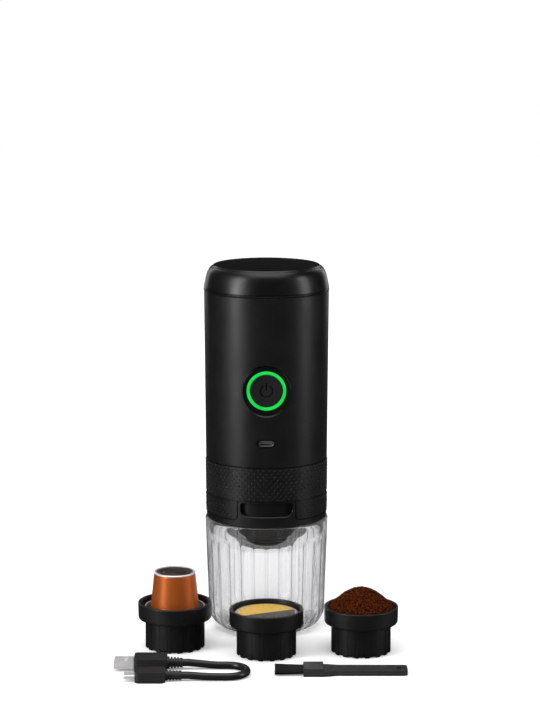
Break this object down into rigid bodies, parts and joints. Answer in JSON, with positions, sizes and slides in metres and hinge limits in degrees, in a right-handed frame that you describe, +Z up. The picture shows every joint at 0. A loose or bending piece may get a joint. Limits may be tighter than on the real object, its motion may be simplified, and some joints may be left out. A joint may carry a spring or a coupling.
{
  "type": "portable capsule coffee maker",
  "caption": "Battery-powered portable coffee maker: screw lid over a heated tank, screw-in brewing chamber, clear cup, capsule and ground-coffee adapters, charging cable and cleaning brush.",
  "frame": {"origin": "centre of the cup's base, on the table", "axes": "+Z up along the machine's axis, -Y towards the front with the button, +X to the right seen from the front"},
  "size_m": [0.175, 0.1669, 0.2327],
  "materials": {
    "clear_plastic": "clear polished plastic",
    "matte_black": "fine soft-touch",
    "satin_black": "satin",
    "gloss_black": "gloss",
    "black_silicone": "satin, textured",
    "red_silicone": "satin",
    "pale_silicone": "satin",
    "clear_silicone": "satin",
    "pale_plastic": "satin",
    "grey_plastic": "satin",
    "cell_wrap": "gloss",
    "board_green": "gloss",
    "green_light": "lit",
    "steel": "brushed",
    "copper_foil": "anodised satin",
    "silver_foil": "satin",
    "gold_plastic": "satin",
    "gold_foil": "embossed foil",
    "coffee": "coarse grounds",
    "cable_black": "satin",
    "bristle_black": "nylon bristles"
  },
  "bodies": {
    "cup": {"cup": "clear_plastic"},
    "chamber_core": {"chamber_screen": "steel"},
    "chamber": {"chamber": "satin_black", "chamber_spout": "satin_black"},
    "chamber_seal": {"chamber_seal": "red_silicone"},
    "machine": {"base_housing": "matte_black", "lower_grip_sleeve": "black_silicone", "upper_grip_band": "black_silicone", "body_shell": "matte_black", "water_tank": "satin_black", "heater_gasket": "red_silicone", "heating_plate": "steel", "thermostat": "pale_plastic", "inner_frame": "grey_plastic", "battery_cells": "cell_wrap", "pump_head": "pale_plastic", "pump_motor": "steel", "suction_hose": "clear_silicone", "pressure_hose": "clear_silicone", "control_board": "board_green", "tact_switch": "steel", "usb_receptacle": "steel", "button_bezel": "satin_black", "light_ring": "green_light", "brew_head": "grey_plastic", "needle_plate": "steel", "frame_screws": "steel", "board_screws": "steel"},
    "button": {"power_button": "matte_black"},
    "lid_seal": {"lid_seal": "pale_silicone"},
    "lid_liner": {"lid_liner": "pale_plastic"},
    "lid": {"lid_shell": "satin_black", "lid_disc": "satin_black"},
    "capsule_adapter": {"capsule_adapter": "satin_black"},
    "capsule": {"capsule_cup": "copper_foil", "capsule_foil": "silver_foil"},
    "pod_adapter": {"pod_adapter": "satin_black"},
    "pod": {"pod_cup": "gold_plastic", "pod_foil": "gold_foil"},
    "coffee_adapter": {"coffee_adapter": "satin_black"},
    "filter": {"coffee_filter": "steel", "ground_coffee": "coffee"},
    "cable": {"usb_a_shell": "steel", "usb_a_housing": "cable_black", "usb_cord": "cable_black", "usb_c_housing": "cable_black", "usb_c_shell": "steel"},
    "brush": {"brush_handle": "gloss_black", "brush_bristles": "bristle_black"}
  },
  "joints": [
    {"name": "set_lift", "type": "slide", "parent": "cup", "child": "chamber_core", "axis": [0, 0, 1], "range_m": [0, 0.0872]},
    {"name": "chamber_turn", "type": "hinge", "parent": "chamber_core", "child": "chamber", "pos_m": [0, 0, 0.075], "axis": [0, 0, -1], "range_deg": [0, 720]},
    {"name": "machine_lift", "type": "slide", "parent": "chamber_core", "child": "chamber_seal", "axis": [0, 0, 1], "range_m": [0, 0.0247]},
    {"name": "machine_rise", "type": "slide", "parent": "chamber_seal", "child": "machine", "axis": [0, 0, 1], "range_m": [0, 0.006]},
    {"name": "power_button_press", "type": "slide", "parent": "machine", "child": "button", "axis": [0, 1, 0], "range_m": [0, 0.0006], "stiffness_N_per_m": 1500},
    {"name": "lid_lift", "type": "slide", "parent": "machine", "child": "lid_seal", "axis": [0, 0, 1], "range_m": [0, 0.0205]},
    {"name": "lid_rise", "type": "slide", "parent": "lid_seal", "child": "lid_liner", "axis": [0, 0, 1], "range_m": [0, 0.0058]},
    {"name": "lid_turn", "type": "hinge", "parent": "lid_liner", "child": "lid", "pos_m": [0, 0, 0.22], "axis": [0, 0, 1], "range_deg": [0, 720]},
    {"name": "capsule_adapter_lift", "type": "slide", "parent": "cup", "child": "capsule_adapter", "axis": [0, 0, 1], "range_m": [0, 0.0949]},
    {"name": "capsule_lift", "type": "slide", "parent": "capsule_adapter", "child": "capsule", "axis": [0, 0, -1], "range_m": [-0.025, 0]},
    {"name": "pod_adapter_lift", "type": "slide", "parent": "cup", "child": "pod_adapter", "axis": [0, 0, 1], "range_m": [0, 0.1026]},
    {"name": "pod_lift", "type": "slide", "parent": "pod_adapter", "child": "pod", "axis": [0, 0, 1], "range_m": [0, 0.0115]},
    {"name": "coffee_adapter_lift", "type": "slide", "parent": "cup", "child": "coffee_adapter", "axis": [0, 0, 1], "range_m": [0, 0.0974]},
    {"name": "filter_lift", "type": "slide", "parent": "coffee_adapter", "child": "filter", "axis": [0, 0, -1], "range_m": [-0.022, 0]},
    {"name": "cable_lift", "type": "slide", "parent": "cup", "child": "cable", "axis": [0, 0, -1], "range_m": [-0.03, 0]},
    {"name": "brush_lift", "type": "slide", "parent": "cup", "child": "brush", "axis": [0, 0, -1], "range_m": [-0.03, 0]}
  ],
  "couplings": [
    {"joint": "machine_rise", "follows": "chamber_turn", "m_per_rad": 0.00047746},
    {"joint": "lid_rise", "follows": "lid_turn", "m_per_rad": 0.00046154}
  ]
}
